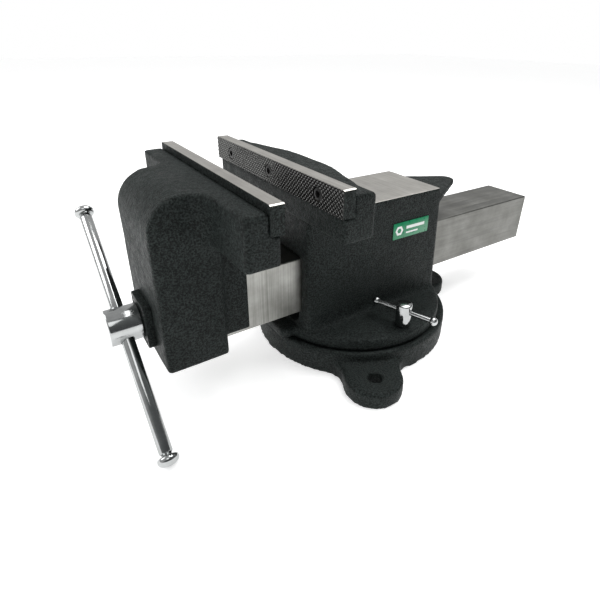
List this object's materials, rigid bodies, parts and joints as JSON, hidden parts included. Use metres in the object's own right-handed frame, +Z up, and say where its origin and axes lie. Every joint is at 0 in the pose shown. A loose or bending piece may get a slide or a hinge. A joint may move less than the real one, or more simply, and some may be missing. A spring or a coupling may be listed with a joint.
{
  "type": "bench vise",
  "caption": "Bench vise with a swivel base, wide jaws with serrated steel plates, a square slide bar, a screw with a sliding handle, an anvil and a short horn.",
  "frame": {"origin": "where the swivel axis meets the plane that the base is bolted down on", "axes": "+Z up along the swivel axis; +Y from the handle towards the anvil horn, along the slide bar; +X towards the side with the label"},
  "size_m": [0.2488, 0.4838, 0.186],
  "materials": {
    "casting": "dark charcoal paint over a fine cast texture",
    "jaw_steel": "hardened steel, ground on top and serrated on the gripping face",
    "bar_steel": "milled and brushed",
    "plain_steel": "machined",
    "black_steel": "black oxide",
    "chrome": "bright plated",
    "bronze": "plain bearing bronze",
    "label": "green label plate with a plain white graphic"
  },
  "bodies": {
    "base": {"swivel_base": "casting"},
    "body": {"body_casting": "casting", "rear_jaw_plate": "jaw_steel", "rear_jaw_screws": "black_steel", "spindle_nut": "plain_steel", "nut_bolts": "black_steel", "side_label": "label", "pivot_bolt": "black_steel", "pivot_washer": "plain_steel", "right_lock_shoe": "plain_steel", "left_lock_shoe": "plain_steel"},
    "right_lock": {"right_lock_screw": "chrome"},
    "left_lock": {"left_lock_screw": "chrome"},
    "right_lock_bar": {"right_lock_bar": "chrome"},
    "left_lock_bar": {"left_lock_bar": "chrome"},
    "front_jaw": {"front_jaw_casting": "casting", "front_jaw_plate": "jaw_steel", "front_jaw_screws": "black_steel", "slide_bar": "bar_steel", "bar_pins": "casting", "retainer_plate": "black_steel", "retainer_screws": "black_steel", "thrust_washer": "bronze"},
    "spindle": {"spindle_screw": "chrome"},
    "handle": {"handle_bar": "chrome", "lower_handle_knob": "chrome", "upper_handle_knob": "chrome"}
  },
  "joints": [
    {"name": "swivel", "type": "hinge", "parent": "base", "child": "body", "pos_m": [0, 0, 0.022], "axis": [0, 0, 1], "continuous": true},
    {"name": "jaw_slide", "type": "slide", "parent": "body", "child": "front_jaw", "axis": [0, 1, 0], "range_m": [-0.156, 0.0429]},
    {"name": "spindle_turn", "type": "hinge", "parent": "front_jaw", "child": "spindle", "pos_m": [0, -0.2262, 0.073], "axis": [0, 1, 0], "range_deg": [-9362, 2576]},
    {"name": "handle_slide", "type": "slide", "parent": "spindle", "child": "handle", "axis": [0.788, 0, -0.6157], "range_m": [-0.0884, 0.0884]},
    {"name": "right_lock_turn", "type": "hinge", "parent": "body", "child": "right_lock", "pos_m": [0.078, 0, 0.045], "axis": [0, 0, 1], "range_deg": [0, 360]},
    {"name": "right_lock_bar_slide", "type": "slide", "parent": "right_lock", "child": "right_lock_bar", "axis": [0.9455, 0.3256, 0], "range_m": [-0.0065, 0.0175]},
    {"name": "left_lock_turn", "type": "hinge", "parent": "body", "child": "left_lock", "pos_m": [-0.078, 0, 0.045], "axis": [0, 0, 1], "range_deg": [0, 360]},
    {"name": "left_lock_bar_slide", "type": "slide", "parent": "left_lock", "child": "left_lock_bar", "axis": [-0.9455, -0.3256, 0], "range_m": [-0.0065, 0.0175]}
  ],
  "couplings": [
    {"joint": "spindle_turn", "follows": "jaw_slide", "rad_per_m": 1047.2}
  ]
}
